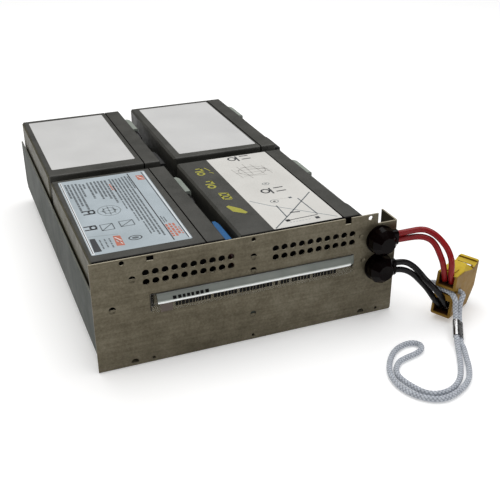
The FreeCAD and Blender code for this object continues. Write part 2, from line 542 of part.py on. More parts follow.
# ---------------------------------------------------------------- clear film handle
def arc_section(x, y_edge, sag, z0, z1, t):
    zm = (z0 + z1) / 2
    o = Part.Arc(V(x, y_edge, z1), V(x, y_edge - sag, zm), V(x, y_edge, z0)).toShape()
    i = Part.Arc(V(x, y_edge + t, z0), V(x, y_edge + t - sag, zm), V(x, y_edge + t, z1)).toShape()
    return Part.Wire([o, Part.LineSegment(V(x, y_edge, z0), V(x, y_edge + t, z0)).toShape(), i,
                      Part.LineSegment(V(x, y_edge + t, z1), V(x, y_edge, z1)).toShape()])

FT = 0.6
film = Part.makeLoft([arc_section(42.0, -0.9, 0.15, 45.0, 55.0, FT),
                      arc_section(48.5, -1.0, 3.2, 41.6, 54.9, FT),
                      arc_section(187.5, -1.0, 3.2, 41.6, 54.9, FT),
                      arc_section(193.2, -0.9, 0.15, 45.0, 55.0, FT)], True, True)
film = film.fuse(box(41.0, 42.2, -0.95, T + 1.0, 45.0, 55.0))
film = film.fuse(box(193.0, 194.2, -0.95, T + 1.0, 45.0, 55.0))
film = film.fuse(box(41.0, 50.0, T + 0.3, T + 0.9, 45.0, 55.0))
film = film.fuse(box(185.2, 194.2, T + 0.3, T + 0.9, 45.0, 55.0))
handle_strip = one(film)

# ---------------------------------------------------------------- export
nodes = {
    "tray": tray, "front_panel": front_panel, "runner_left": runner_left, "runner_right": runner_right,
    "battery_front_left": packs["front_left"], "battery_front_right": packs["front_right"],
    "battery_rear_left": packs["rear_left"], "battery_rear_right": packs["rear_right"],
    "foam_strips": foam_strips, "terminals": Part.makeCompound(terms),
    "boots_clear": Part.makeCompound(boots_clear), "boot_blue": boot_blue,
    "boots_black": Part.makeCompound(boots_black),
    "bushing_upper": bushing_upper, "bushing_lower": bushing_lower,
    "connector_housing": connector_housing, "connector_contacts": connector_contacts,
    "lanyard_neck": lanyard_neck, "lanyard_loop": lanyard_loop, "lanyard_ferrule": lanyard_ferrule,
    "handle_strip": handle_strip}
nodes.update(labels)
nodes.update(inner)
nodes.update(free)
for name, shape in nodes.items():
    export(name, shape)
print(len(nodes), "nodes; origin at", ORIGIN)
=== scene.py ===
import bpy, bmesh, math
import numpy as np
from mathutils import Vector, Matrix


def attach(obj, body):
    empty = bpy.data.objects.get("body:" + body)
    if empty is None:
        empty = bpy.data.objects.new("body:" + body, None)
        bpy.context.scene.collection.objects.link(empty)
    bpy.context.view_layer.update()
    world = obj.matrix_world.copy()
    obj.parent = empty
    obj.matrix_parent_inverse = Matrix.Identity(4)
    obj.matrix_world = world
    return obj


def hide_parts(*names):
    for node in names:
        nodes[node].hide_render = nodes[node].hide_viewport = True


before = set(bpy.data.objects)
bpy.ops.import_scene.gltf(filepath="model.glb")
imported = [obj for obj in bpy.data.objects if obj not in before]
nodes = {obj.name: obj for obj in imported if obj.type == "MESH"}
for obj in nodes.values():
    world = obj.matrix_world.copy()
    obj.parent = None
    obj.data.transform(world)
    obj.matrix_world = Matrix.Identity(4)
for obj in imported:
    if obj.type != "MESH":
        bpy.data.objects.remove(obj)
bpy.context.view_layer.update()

scene = bpy.context.scene

# ------------------------------------------------------------------ frame
OX, OY = 115.5, 155.4                      # front left foot of the panel, from the origin (mm)


def P(x, y, z):
    """Point given from the panel's lower left front corner in mm, as metres in the row frame."""
    return ((x - OX) / 1000.0, (y - OY) / 1000.0, z / 1000.0)


# ------------------------------------------------------------------ camera
ROWS = ((0.9283999, -0.371565, -0.0036227), (-0.1732447, -0.4242067, -0.8888391),
        (0.3287247, 0.8258257, -0.4582051))
cam_data = bpy.data.cameras.new("camera")
cam = bpy.data.objects.new("camera", cam_data)
scene.collection.objects.link(cam)
cam_data.sensor_fit = "HORIZONTAL"
cam_data.sensor_width = 36.0
cam_data.lens = 36.0 * 818.527 / 500.0
cam_data.clip_start, cam_data.clip_end = 0.01, 50.0
right, down, fwd = (Vector(r) for r in ROWS)
m = Matrix((right, -down, -fwd)).transposed().to_4x4()
m.translation = Vector(P(-74.6436, -470.8128, 335.8116))
cam.matrix_world = m
scene.camera = cam


# ------------------------------------------------------------------ materials
class Mat:
    def __init__(self, name):
        self.m = bpy.data.materials.new(name)
        self.m.use_nodes = True
        self.t = self.m.node_tree
        self.t.nodes.clear()
        self.out = self.add("ShaderNodeOutputMaterial")
        self.b = self.add("ShaderNodeBsdfPrincipled")
        self.link(self.b.outputs[0], self.out.inputs[0])
        self.tc = self.add("ShaderNodeTexCoord")
        self.obj = self.tc.outputs["Object"]

    def add(self, kind, **kw):
        n = self.t.nodes.new(kind)
        for k, v in kw.items():
            setattr(n, k, v)
        return n

    def link(self, a, b):
        self.t.links.new(a, b)

    def set(self, **kw):
        names = {"metal": "Metallic", "rough": "Roughness", "ior": "IOR", "alpha": "Alpha",
                 "coat": "Coat Weight", "coat_rough": "Coat Roughness", "sheen": "Sheen Weight",
                 "spec": "Specular IOR Level", "trans": "Transmission Weight",
                 "sub": "Subsurface Weight", "aniso": "Anisotropic", "sheen_rough": "Sheen Roughness"}
        for k, v in kw.items():
            if k == "color":
                self.b.inputs["Base Color"].default_value = (*v, 1.0)
            else:
                self.b.inputs[names[k]].default_value = v

    def mapping(self, scale, loc=(0, 0, 0), rot=(0, 0, 0), src=None):
        n = self.add("ShaderNodeMapping")
        n.inputs["Scale"].default_value = scale
        n.inputs["Location"].default_value = loc
        n.inputs["Rotation"].default_value = rot
        self.link(src or self.obj, n.inputs["Vector"])
        return n.outputs[0]

    def noise(self, scale, detail=3.0, rough=0.55, vec=None, dist=0.0):
        n = self.add("ShaderNodeTexNoise")
        n.inputs["Scale"].default_value = scale
        n.inputs["Detail"].default_value = detail
        n.inputs["Roughness"].default_value = rough
        n.inputs["Distortion"].default_value = dist
        self.link(vec or self.obj, n.inputs["Vector"])
        return n.outputs["Fac"]

    def voronoi(self, scale, vec=None, feature="F1", out="Distance"):
        n = self.add("ShaderNodeTexVoronoi", feature=feature)
        n.inputs["Scale"].default_value = scale
        self.link(vec or self.obj, n.inputs["Vector"])
        return n.outputs[out]

    def ramp(self, fac, stops):
        n = self.add("ShaderNodeValToRGB")
        e = n.color_ramp.elements
        while len(e) < len(stops):
            e.new(0.5)
        for k, (p, c) in enumerate(stops):
            e[k].position = p
            e[k].color = (*c, 1.0) if isinstance(c, (tuple, list)) else (c, c, c, 1.0)
        self.link(fac, n.inputs[0])
        return n.outputs[0]

    def math(self, op, a, b=None, clamp=False):
        n = self.add("ShaderNodeMath", operation=op, use_clamp=clamp)
        for k, v in enumerate((a, b)):
            if v is None:
                continue
            if isinstance(v, (int, float)):
                n.inputs[k].default_value = v
            else:
                self.link(v, n.inputs[k])
        return n.outputs[0]

    def mix(self, fac, a, b, blend="MIX"):
        n = self.add("ShaderNodeMix", data_type="RGBA", blend_type=blend)
        for sock, v in ((n.inputs[0], fac), (n.inputs[6], a), (n.inputs[7], b)):
            if isinstance(v, (int, float)):
                sock.default_value = v
            elif isinstance(v, (tuple, list)):
                sock.default_value = (*v, 1.0)
            else:
                self.link(v, sock)
        return n.outputs[2]

    def bump(self, height, strength=0.3, distance=0.0002, normal=None):
        n = self.add("ShaderNodeBump")
        n.inputs["Strength"].default_value = strength
        n.inputs["Distance"].default_value = distance
        self.link(height, n.inputs["Height"])
        if normal is not None:
            self.link(normal, n.inputs["Normal"])
        return n.outputs[0]

    def color(self, sock):
        self.link(sock, self.b.inputs["Base Color"])

    def rough(self, sock):
        self.link(sock, self.b.inputs["Roughness"])

    def normal(self, sock):
        self.link(sock, self.b.inputs["Normal"])

    def along(self, axis, start):
        """Distance along a direction of the object's frame, counted from start (metres)."""
        n = self.add("ShaderNodeVectorMath", operation="DOT_PRODUCT")
        self.link(self.obj, n.inputs[0])
        n.inputs[1].default_value = axis
        return self.math("SUBTRACT", n.outputs["Value"], start)

    def between(self, val, lo, hi):
        a = self.math("GREATER_THAN", val, lo)
        b = self.math("LESS_THAN", val, hi)
        return self.math("MULTIPLY", a, b)

    def split(self):
        n = self.add("ShaderNodeSeparateXYZ")
        self.link(self.obj, n.inputs[0])
        return n.outputs


def zinc(name, dark, mid, light, metal=0.6, r0=0.36, r1=0.52, grain=(900.0, 900.0, 18.0), edge=None,
         streak=0.24, spec=0.5):
    """Zinc-plated sheet: slow mottling, rolled grain, fine spangle, and painted light as a lighter colour on faces
    that point up.
    """
    k = Mat(name)
    k.set(metal=metal, spec=spec)
    big = k.noise(9.0, 4.0, 0.6)
    mid_ = k.noise(70.0, 3.0, 0.65)
    fine = k.noise(620.0, 2.0, 0.7)
    lines = k.noise(1.0, 2.0, 0.6, k.mapping(grain))
    a = k.math("ADD", k.math("MULTIPLY", big, 0.34), k.math("MULTIPLY", lines, streak))
    a = k.math("ADD", a, k.math("MULTIPLY", mid_, 0.76 - 0.34 - streak))
    a = k.math("ADD", a, k.math("MULTIPLY", fine, 0.24))
    col = k.ramp(a, [(0.38, dark), (0.5, mid), (0.64, light)])
    if edge:
        # painted light: faces that point up, such as the top edges and the lower lips of holes, take the lighter
        # edge colour
        nrm = k.add("ShaderNodeNewGeometry")
        sep = k.add("ShaderNodeSeparateXYZ")
        k.link(nrm.outputs["Normal"], sep.inputs[0])
        lit_top_mask = k.ramp(sep.outputs[2], [(0.55, 0.0), (0.85, 1.0)])
        col = k.mix(lit_top_mask, col, edge)
    k.color(col)
    k.rough(k.ramp(k.noise(26.0, 4.0, 0.65), [(0.3, r0), (0.7, r1)]))
    h = k.math("ADD", k.math("MULTIPLY", lines, 0.5), k.math("MULTIPLY", fine, 0.5))
    k.normal(k.bump(h, 0.16, 0.00007))
    return k.m


def plastic(name, dark, light, r0, r1, grit=0.25, scale=2600.0, dist=0.00005, dust=0.0):
    """Moulded plastic: slow tone change, spark texture, a little dust."""
    k = Mat(name)
    tone = k.noise(38.0, 4.0, 0.6)
    col = k.ramp(tone, [(0.3, dark), (0.7, light)])
    if dust:
        d = k.ramp(k.noise(420.0, 4.0, 0.7), [(0.62, 0.0), (0.78, 1.0)])
        col = k.mix(k.math("MULTIPLY", d, dust), col, (0.42, 0.40, 0.36))
    k.color(col)
    k.rough(k.ramp(k.noise(120.0, 3.0, 0.6), [(0.3, r0), (0.7, r1)]))
    k.normal(k.bump(k.noise(scale, 2.0, 0.6), grit, dist))
    return k


M = {}
# edge is the painted-light colour of the faces that point up
M["zinc_front"] = zinc("zinc_front", (0.068, 0.056, 0.033), (0.112, 0.096, 0.062), (0.178, 0.158, 0.112),
                       grain=(14.0, 14.0, 420.0), edge=(0.40, 0.36, 0.27), streak=0.18)
M["zinc_tray"] = zinc("zinc_tray", (0.020, 0.026, 0.021), (0.036, 0.044, 0.036), (0.062, 0.072, 0.060),
                      metal=0.15, r0=0.5, r1=0.65, grain=(18.0, 420.0, 18.0), edge=(0.20, 0.205, 0.18),
                      spec=0.2)
M["zinc_runner"] = zinc("zinc_runner", (0.10, 0.10, 0.09), (0.14, 0.14, 0.125), (0.19, 0.19, 0.17),
                        metal=0.4, grain=(700.0, 20.0, 700.0))
# painted shade: the cases are near black and less glossy on the face that stands behind the vents
k = Mat("pack_case")
tone = k.noise(38.0, 4.0, 0.6)
speck = k.noise(900.0, 3.0, 0.7)
col = k.ramp(k.math("ADD", k.math("MULTIPLY", tone, 0.6), k.math("MULTIPLY", speck, 0.4)),
             [(0.36, (0.034, 0.034, 0.029)), (0.64, (0.064, 0.063, 0.056))])
dust = k.ramp(k.noise(420.0, 4.0, 0.7), [(0.62, 0.0), (0.78, 1.0)])
col = k.mix(k.math("MULTIPLY", dust, 0.08), col, (0.42, 0.40, 0.36))
# this mask is 0 on the front faces of the front packs, which take the near black painted shade
no_vent_shade = k.ramp(k.math("ADD", k.math("MULTIPLY", k.split()[1], 50.0), 7.93), [(0.60, 0.0), (0.68, 1.0)])
# painted light: the left side faces of the left packs take a lighter, browner copy of the case colour
side = k.ramp(k.math("ADD", k.math("MULTIPLY", k.split()[0], -50.0), -5.0), [(0.57, 0.0), (0.61, 1.0)])
base = k.ramp(tone, [(0.35, (0.047, 0.043, 0.023)), (0.65, (0.074, 0.067, 0.036))])
# dust-dark lid seam of each pack
px, py, _ = k.split()
seam = k.math("MAXIMUM", k.math("MULTIPLY", k.between(px, 0.07405, 0.0755), k.between(py, -0.150, 0.0038)),
              k.math("MULTIPLY", k.between(px, 0.0761, 0.0773), k.between(py, 0.012, 0.170)))
seam = k.math("MAXIMUM", seam, k.between(px, -0.0320, -0.0309))
col = k.mix(k.math("MULTIPLY", seam, 0.9), col, (0.0025, 0.0022, 0.002))
k.color(k.mix(side, k.mix(no_vent_shade, (0.0015, 0.0012, 0.0012), col), base))
k.rough(k.ramp(k.noise(120.0, 3.0, 0.6), [(0.3, 0.42), (0.7, 0.58)]))
k.normal(k.bump(k.noise(2200.0, 2.0, 0.6), 0.35, 0.00006))
k.t.links.new(k.math("SUBTRACT", k.ramp(no_vent_shade, [(0.0, 0.05), (1.0, 0.35)]), k.math("MULTIPLY", seam, 0.33), True),
              k.b.inputs["Specular IOR Level"])
M["case"] = k.m
M["foam"] = plastic("foam", (0.02, 0.02, 0.02), (0.04, 0.04, 0.04), 0.8, 0.95, 0.7, 1400.0, 0.0003).m
k = plastic("relief_black", (0.0014, 0.0004, 0.0004), (0.0030, 0.0010, 0.0010), 0.14, 0.24, 0.30,
            900.0, 0.0001)
k.set(spec=0.075)
M["relief"] = k.m
M["boot_black"] = plastic("boot_black", (0.008, 0.008, 0.008), (0.016, 0.016, 0.016), 0.4, 0.5, 0.2).m
M["boot_blue"] = plastic("boot_blue", (0.008, 0.080, 0.22), (0.014, 0.12, 0.31), 0.3, 0.42, 0.2).m
M["boot_clear"] = plastic("boot_clear", (0.22, 0.25, 0.22), (0.31, 0.34, 0.30), 0.28, 0.42, 0.25).m
k = plastic("lead_red", (0.20, 0.004, 0.006), (0.28, 0.010, 0.012), 0.18, 0.26, 0.12, 700.0, 0.0001)
k.set(spec=0.26)
M["red"] = k.m
k = plastic("lead_black", (0.0035, 0.003, 0.0035), (0.008, 0.007, 0.008), 0.20, 0.30, 0.12, 700.0, 0.0001)
k.set(spec=0.22)
M["black"] = k.m
# painted shade: the inner red leads behind the panel are a darker copy of the red lead colour
M["red_inner"] = plastic("lead_red_inner", (0.018, 0.0015, 0.0015), (0.032, 0.003, 0.003), 0.3, 0.4, 0.12, 700.0,
                         0.0001).m


def metal(name, dark, light, rough0, rough1, grain):
    k = Mat(name)
    k.set(metal=1.0)
    n = k.noise(1.0, 3.0, 0.6, k.mapping(grain))
    k.color(k.ramp(n, [(0.3, dark), (0.7, light)]))
    k.rough(k.ramp(k.noise(300.0, 3.0, 0.6), [(0.3, rough0), (0.7, rough1)]))
    k.normal(k.bump(n, 0.2, 0.00005))
    return k.m


M["tin"] = metal("tin_plate", (0.52, 0.50, 0.44), (0.68, 0.66, 0.60), 0.25, 0.4, (800, 800, 800))
M["ferrule"] = metal("ferrule_metal", (0.16, 0.16, 0.16), (0.48, 0.48, 0.48), 0.16, 0.30, (420, 420, 420))

k = Mat("connector_yellow")
tone = k.noise(70.0, 4.0, 0.6)
nrm = k.add("ShaderNodeNewGeometry")
sep = k.add("ShaderNodeSeparateXYZ")
k.link(nrm.outputs["Normal"], sep.inputs[0])
# the housing's own axes: mating direction, thickness, height
cu_ = k.along((0.85126, 0.51961, -0.07324), 0.024263)
cv_ = k.along((-0.51808, 0.85439, 0.04002), -0.238607)
cw_ = k.along((0.08337, 0.00387, 0.99651), 0.014728)
# painted light: the top faces take a lighter copy of the yellow, the other faces a darker copy
lit_top_mask = k.ramp(sep.outputs[2], [(0.35, 0.0), (0.80, 1.0)])
lit_top_mask = k.math("MULTIPLY", lit_top_mask, k.math("GREATER_THAN", cw_, 0.0315))
side = k.ramp(tone, [(0.3, (0.195, 0.105, 0.013)), (0.7, (0.265, 0.152, 0.026))])
top = k.ramp(tone, [(0.3, (0.50, 0.345, 0.022)), (0.7, (0.62, 0.455, 0.050))])
base = k.mix(lit_top_mask, side, top)
grime = k.ramp(k.noise(260.0, 5.0, 0.7), [(0.52, 0.0), (0.72, 1.0)])
base = k.mix(k.math("MULTIPLY", grime, 0.30), base, (0.20, 0.13, 0.055))
# painted shade inside the wells, tinted red-brown as painted reflection of the red leads; one colour for all wells
inside = k.math("MULTIPLY", k.between(cu_, 0.0011, 0.0410), k.between(cv_, 0.0017, 0.0143))
inside = k.math("MULTIPLY", inside, k.between(cw_, 0.0015, 0.0335))
k.color(k.mix(k.math("MULTIPLY", inside, 0.9), base, (0.060, 0.020, 0.012)))
k.rough(k.ramp(k.noise(160.0, 3.0, 0.6), [(0.3, 0.38), (0.7, 0.55)]))
k.set(spec=0.09)
k.normal(k.bump(k.noise(1800.0, 2.0, 0.6), 0.22, 0.00006))
M["yellow"] = k.m

# braided cord: the colour follows the relief that the mesh carries, as painted shade in the low parts between the
# yarns and painted light on their crests
k = Mat("braid")
att = k.add("ShaderNodeAttribute", attribute_name="relief")
yarn = k.add("ShaderNodeAttribute", attribute_name="yarn")
fibre = k.noise(6000.0, 3.0, 0.6)
col = k.ramp(att.outputs["Fac"], [(0.26, (0.17, 0.185, 0.22)), (0.58, (0.42, 0.445, 0.49)),
                                  (0.92, (0.58, 0.61, 0.66))])
col = k.mix(k.math("MULTIPLY", fibre, 0.35), col, (0.36, 0.40, 0.46))
col = k.mix(k.math("MULTIPLY", yarn.outputs["Fac"], 0.25), col, (0.78, 0.82, 0.88))
k.color(col)
k.set(rough=0.78, sheen=0.25, sheen_rough=0.4)
k.normal(k.bump(fibre, 0.35, 0.00008))
M["braid"] = k.m


def paper(name, dark, light, rough0=0.42, rough1=0.55):
    k = Mat(name)
    a = k.noise(22.0, 4.0, 0.6)
    b = k.noise(900.0, 3.0, 0.7)
    col = k.ramp(k.math("ADD", k.math("MULTIPLY", a, 0.7), k.math("MULTIPLY", b, 0.3)),
                 [(0.32, dark), (0.68, light)])
    k.color(col)
    k.rough(k.ramp(a, [(0.3, rough0), (0.7, rough1)]))
    k.normal(k.bump(b, 0.10, 0.00004))
    return k.m


M["label_blank"] = paper("label_blank", (0.555, 0.555, 0.55), (0.60, 0.60, 0.595))
M["label_blue"] = paper("label_blue", (0.335, 0.39, 0.42), (0.43, 0.49, 0.53))
M["label_cream"] = paper("label_cream", (0.60, 0.59, 0.56), (0.66, 0.65, 0.62))


def ink(name, c, spread=0.25, rough=0.5):
    k = Mat(name)
    hi = tuple(min(1.0, v * (1 + spread) + 0.01) for v in c)
    k.color(k.ramp(k.noise(700.0, 4.0, 0.7), [(0.32, c), (0.72, hi)]))
    k.set(rough=rough)
    k.normal(k.bump(k.noise(2500.0, 2.0, 0.6), 0.15, 0.00003))
    return k.m


M["ink_dark"] = ink("ink_dark", (0.020, 0.022, 0.026))
M["ink_grey"] = ink("ink_grey", (0.085, 0.10, 0.11), 0.4)
M["ink_pale"] = ink("ink_pale", (0.19, 0.22, 0.235), 0.3)
M["ink_faint"] = ink("ink_faint", (0.36, 0.35, 0.33), 0.2)
M["ink_red"] = ink("ink_red", (0.40, 0.12, 0.075))
M["ink_yellow"] = ink("ink_yellow", (0.30, 0.285, 0.030))
M["ink_white"] = ink("ink_white", (0.66, 0.68, 0.69))
M["ink_black"] = ink("ink_black", (0.003, 0.003, 0.003), 0.4, 0.75)
for q in M["ink_black"].node_tree.nodes:
    if q.type == "BSDF_PRINCIPLED":
        q.inputs["Specular IOR Level"].default_value = 0.06

def film(name, lo, hi, alpha, rough):
    k = Mat(name)
    k.color(k.ramp(k.noise(60.0, 3.0, 0.6), [(0.3, lo), (0.7, hi)]))
    k.set(rough=rough, ior=1.5, spec=0.5, coat=0.25, coat_rough=0.15, alpha=alpha)
    k.normal(k.bump(k.noise(40.0, 2.0, 0.5), 0.08, 0.0003))
    return k.m


# painted reflection: the upper face of the strip is a nearly opaque pale grey-green, the room reflected in the
# clear film
M["film"] = film("clear_film", (0.175, 0.195, 0.175), (0.225, 0.245, 0.220), 0.84, 0.34)
M["film_low"] = film("clear_film_low", (0.10, 0.095, 0.075), (0.13, 0.125, 0.10), 0.10, 0.30)
# painted highlight: the ridge of the strip is near white
M["film_crease_highlight"] = ink("film_crease_highlight", (0.93, 0.95, 0.93), 0.05, 0.22)
# painted shadow: the hem along the top edge and the strip's ends at the slots are near black
M["film_hem_shadow"] = ink("film_hem_shadow", (0.022, 0.020, 0.016), 0.3, 0.5)
# painted reflection: a dark brown, nearly opaque patch on the lower face at the left end
M["film_fold"] = film("clear_film_fold", (0.066, 0.043, 0.032), (0.090, 0.060, 0.044), 0.93, 0.45)
# painted highlight: a pale band just above the ridge, the glow of its highlight
M["film_soft"] = film("clear_film_soft", (0.38, 0.41, 0.385), (0.46, 0.49, 0.46), 0.95, 0.30)


# ------------------------------------------------------------------ mesh helpers
def new_mesh(name, verts, faces, mats=(), smooth=False, fmat=None):
    me = bpy.data.meshes.new(name)
    me.from_pydata([tuple(v) for v in verts], [], [tuple(f) for f in faces])
    for q in mats:
        me.materials.append(q)
    if fmat is not None:
        me.polygons.foreach_set("material_index", list(fmat))
    if smooth:
        me.polygons.foreach_set("use_smooth", [True] * len(me.polygons))
    me.validate()
    me.update()
    ob = bpy.data.objects.new(name, me)
    scene.collection.objects.link(ob)
    return ob


def nurbs(name, pts, diameter=None, mat=None, res=24):
    """A smooth line whose control points are the route's points (metres)."""
    cu = bpy.data.curves.new(name, "CURVE")
    cu.dimensions = "3D"
    cu.resolution_u = res
    sp = cu.splines.new("NURBS")
    sp.points.add(len(pts) - 1)
    for q, p in zip(sp.points, pts):
        q.co = (*p, 1.0)
    sp.order_u = 3
    sp.use_endpoint_u = True
    if diameter:
        cu.bevel_depth = diameter / 2
        cu.bevel_resolution = 8
        cu.use_fill_caps = True
    if mat:
        cu.materials.append(mat)
    ob = bpy.data.objects.new(name, cu)
    scene.collection.objects.link(ob)
    return ob


def curve_points(pts, res=24):
    """Points along the route's own NURBS spline, read from a curve that has no bevel."""
    ob = nurbs("tmp_line", pts, res=res)
    bpy.context.view_layer.update()
    dg = bpy.context.evaluated_depsgraph_get()
    me = bpy.data.meshes.new_from_object(ob.evaluated_get(dg))
    out = np.array([v.co[:] for v in me.vertices])
    bpy.data.objects.remove(ob)
    bpy.data.meshes.remove(me)
    return out


def length_of(p):
    return float(np.linalg.norm(np.diff(p, axis=0), axis=1).sum())


def even(p, step):
    """The same line at an even spacing, for rings of a tube."""
    d = np.r_[0, np.cumsum(np.linalg.norm(np.diff(p, axis=0), axis=1))]
    n = max(2, int(round(d[-1] / step)))
    s = np.linspace(0, d[-1], n + 1)
    return np.stack([np.interp(s, d, p[:, j]) for j in range(3)], 1), s


def frames(p):
    """Rotation-minimising frames along a line."""
    t = np.gradient(p, axis=0)
    t /= np.linalg.norm(t, axis=1)[:, None]
    a = np.array([0.0, 0.0, 1.0])
    n = a - t[0] * a.dot(t[0])
    n /= np.linalg.norm(n)
    ns = [n]
    for i in range(1, len(p)):
        n = ns[-1] - t[i] * ns[-1].dot(t[i])
        n /= np.linalg.norm(n)
        ns.append(n)
    ns = np.array(ns)
    return t, ns, np.cross(t, ns)


def braided(name, pts, diameter, step=0.00042, around=32, pitch=0.0052, carriers=8, seed=3):
    """Braided cord: two sets of yarns spiralling both ways, over two and under two."""
    line = curve_points(pts, 40)
    p, s = even(line, step)
    t, n, b = frames(p)
    rng = np.random.default_rng(seed)
    slow = np.interp(s, np.linspace(0, s[-1], 40), rng.normal(0, 1, 40))
    th = np.linspace(0, 2 * math.pi, around, endpoint=False)
    S, TH = np.meshgrid(s, th, indexing="ij")
    u = carriers / 2 * (TH + 2 * math.pi * S / pitch / (carriers / 2) * 2.0)
    v = carriers / 2 * (TH - 2 * math.pi * S / pitch / (carriers / 2) * 2.0)
    ru, rv = np.cos(u), np.cos(v)
    over = np.sin((u + v) / 2 * 1.0) * np.sin((u - v) / 2)
    h = np.where(over > 0, 0.75 * np.abs(np.cos(u / 2)) + 0.25 * np.abs(np.cos(v / 2)),
                 0.75 * np.abs(np.cos(v / 2)) + 0.25 * np.abs(np.cos(u / 2)))
    r = diameter / 2 * (0.93 + 0.10 * h) * (1 + 0.012 * slow[:, None])
    ring = (p[:, None, :] + r[..., None] * (np.cos(TH)[..., None] * n[:, None, :]
                                            + np.sin(TH)[..., None] * b[:, None, :]))
    nr, m_ = len(s), around
    verts = ring.reshape(-1, 3)
    idx = np.arange(nr * m_).reshape(nr, m_)
    q = np.stack([idx[:-1], np.roll(idx, -1, 1)[:-1], np.roll(idx, -1, 1)[1:], idx[1:]], -1).reshape(-1, 4)
    verts = np.vstack([verts, p[0], p[-1]])
    a0, a1 = len(verts) - 2, len(verts) - 1
    caps = [(idx[0, (j + 1) % m_], idx[0, j], a0) for j in range(m_)] + \
           [(idx[-1, j], idx[-1, (j + 1) % m_], a1) for j in range(m_)]
    me = bpy.data.meshes.new(name)
    me.from_pydata(verts.tolist(), [], q.tolist() + caps)
    me.polygons.foreach_set("use_smooth", [True] * len(me.polygons))
    me.materials.append(M["braid"])
    rel = np.r_[h.reshape(-1), 0, 0].astype(np.float32)
    at = me.attributes.new("relief", "FLOAT", "POINT")
    at.data.foreach_set("value", rel)
    yy = np.r_[((np.floor(u / (2 * math.pi)) % 4 == 1) & (over > 0)).astype(float).reshape(-1), 0, 0]
    at = me.attributes.new("yarn", "FLOAT", "POINT")
    at.data.foreach_set("value", yy.astype(np.float32))
    me.update()
    ob = bpy.data.objects.new(name, me)
    scene.collection.objects.link(ob)
    return ob, p


# ------------------------------------------------------------------ cords
LEAD_D, CORD_D = 0.0046, 0.0040
ROUTES = {
    "lead_red_outer": [(227.0, -6.5, 69.0), (235.3, -6.5, 69.0), (247.5, -8.9, 70.5),
                       (253.7, -13.9, 68.2), (257.7, -19.7, 63.9), (260.6, -25.8, 57.9),
                       (261.8, -30.0, 49.9), (261.3, -31.0, 40.1), (264.9, -28.5, 31.1)],
    "lead_red_inner": [(227.0, -6.5, 63.9), (235.3, -6.5, 63.9), (246.0, -9.7, 64.9),
                       (252.0, -13.8, 63.2), (254.8, -17.9, 59.2), (256.2, -21.8, 53.3),
                       (257.3, -25.0, 48.1), (258.4, -26.7, 40.3), (261.5, -24.0, 32.1)],
    "lead_black_upper": [(227.0, -6.5, 44.6), (235.2, -6.5, 44.6), (242.2, -9.8, 40.5),
                         (245.7, -14.3, 35.9), (247.0, -18.4, 33.3), (248.5, -22.3, 31.3),
                         (251.8, -26.2, 27.3), (256.9, -28.7, 20.6), (262.5, -28.4, 11.0)],
    "lead_black_lower": [(227.0, -6.5, 38.4), (231.4, -6.5, 38.4), (237.6, -8.3, 36.8),
                         (242.4, -11.2, 33.7), (246.2, -13.8, 29.2), (249.5, -16.0, 25.3),
                         (251.9, -18.9, 21.6), (255.0, -23.6, 15.3), (260.6, -23.8, 8.7)],
}
cords = {}
for name, pts in ROUTES.items():
    pts = [P(*q) for q in pts]
    ob = nurbs(name + "_visual", pts, LEAD_D, M["red" if "red" in name else "black"])
    ob.data.resolution_u = 16
    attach(ob, "root")
    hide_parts(name)
    length_of(curve_points(pts))
    cords[name] = ob

LOOP = [(257.14, -55.16, 5.13), (251.76, -64.15, 2.19), (250.3, -70.6, 2.15), (245.8, -79.5, 2.05),
        (239.1, -93.6, 2.05), (230.3, -105.3, 2.05), (216.8, -113.0, 2.05), (201.5, -116.5, 2.05),
        (189.0, -107.6, 2.05), (182.9, -93.2, 2.05), (184.4, -78.0, 2.05), (192.3, -64.6, 2.05),
        (202.6, -54.2, 2.05), (213.4, -50.2, 2.05), (221.0, -51.0, 2.05), (224.0, -56.0, 2.05),
        (220.8, -61.2, 2.05), (214.5, -63.8, 2.05), (206.6, -65.3, 2.05), (197.1, -67.9, 2.05),
        (188.1, -79.6, 2.05), (190.4, -94.6, 2.05), (197.4, -108.9, 2.05), (212.4, -110.2, 2.05),
        (225.3, -102.3, 2.05), (234.2, -90.4, 2.05), (241.6, -77.6, 2.2), (246.3, -68.6, 3.3),
        (248.87, -63.34, 4.98), (254.26, -54.34, 7.92)]
NECK = [(254.26, -54.34, 7.92), (259.64, -45.35, 10.86), (261.37, -41.06, 15.38), (262.62, -38.95, 21.69),
        (263.17, -31.74, 24.63), (258.95, -24.59, 24.95), (255.06, -18.18, 25.15), (255.96, -12.95, 24.96),
        (261.1, -14.5, 24.63), (265.25, -21.33, 24.31), (273.07, -34.46, 23.41), (267.77, -38.34, 20.25),
        (265.92, -39.91, 15.0), (262.53, -46.16, 8.07), (257.14, -55.16, 5.13)]
for name, pts in (("lanyard_loop", LOOP), ("lanyard_neck", NECK)):
    pts = [P(*q) for q in pts]
    ob, line = braided(name + "_visual", pts, CORD_D)
    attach(ob, "root")
    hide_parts(name)
    cords[name] = ob

# ------------------------------------------------------------------ finishes of the CAD pieces
FINISH = {
    "front_panel": "zinc_front", "tray": "zinc_tray", "runner_left": "zinc_runner",
    "runner_right": "zinc_runner", "battery_front_left": "case", "battery_front_right": "case",
    "battery_rear_left": "case", "battery_rear_right": "case", "foam_strips": "foam",
    "terminals": "tin", "connector_contacts": "tin", "boots_clear": "boot_clear",
    "boot_blue": "boot_blue", "boots_black": "boot_black", "bushing_upper": "relief",
    "bushing_lower": "relief", "connector_housing": "yellow", "lanyard_ferrule": "ferrule",
    "inner_lead_red_a": "red_inner", "inner_lead_red_b": "red_inner", "inner_lead_black_a": "black",
    "inner_lead_black_b": "black", "jumper_left": "black", "jumper_right": "black"}
for name, key in FINISH.items():
    o = nodes[name]
    o.data.materials.clear()
    o.data.materials.append(M[key])

# ------------------------------------------------------------------ labels and their print
Z_TOP = 82.0


